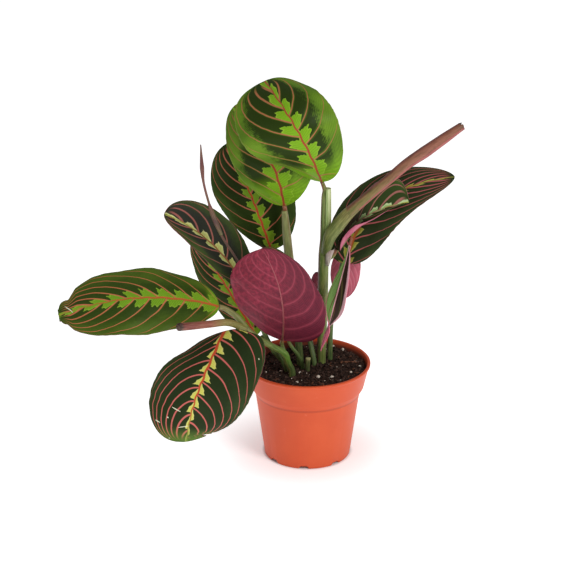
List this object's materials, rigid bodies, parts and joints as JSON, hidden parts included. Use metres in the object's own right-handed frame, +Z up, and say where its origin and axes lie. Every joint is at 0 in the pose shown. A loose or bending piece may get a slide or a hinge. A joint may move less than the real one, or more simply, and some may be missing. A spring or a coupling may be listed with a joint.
{
  "type": "potted prayer plant",
  "caption": "Potted prayer plant with patterned oval leaves on jointed stems, one rolled new leaf and a flower stalk, in a tapered plastic nursery pot filled with peat.",
  "frame": {"origin": "centre of the pot's foot, on the surface that the pot stands on", "axes": "+Z up, -Y towards the plant's front, where the hanging leaf shows its face, +X to the right seen from the front"},
  "size_m": [0.3648, 0.1594, 0.3682],
  "materials": {
    "pot_plastic": "satin",
    "peat": "matte",
    "leaf_green": "satin",
    "leaf_purple": "satin",
    "stem": "satin",
    "rolled_leaf": "satin"
  },
  "bodies": {
    "root": {"pot": "pot_plastic", "soil": "peat", "leaf_top": "leaf_green", "leaf_second": "leaf_green", "leaf_back_left": "leaf_green", "leaf_mid_left": "leaf_green", "leaf_low_left": "leaf_green", "leaf_left": "leaf_green", "leaf_front": "leaf_green", "leaf_purple": "leaf_purple", "leaf_right": "leaf_green", "leaf_curl_right": "leaf_green", "leaf_low_right": "leaf_green", "leaf_folded": "leaf_green", "leaf_behind": "leaf_green", "leaf_small": "leaf_green", "shoot_main": "stem", "shoot_second": "stem", "shoot_back": "stem", "shoot_front": "stem", "shoot_left": "stem", "shoot_purple": "stem", "shoot_behind": "stem", "shoot_right": "stem", "shoot_stub": "stem", "leaf_rolled": "rolled_leaf"}
  },
  "joints": []
}
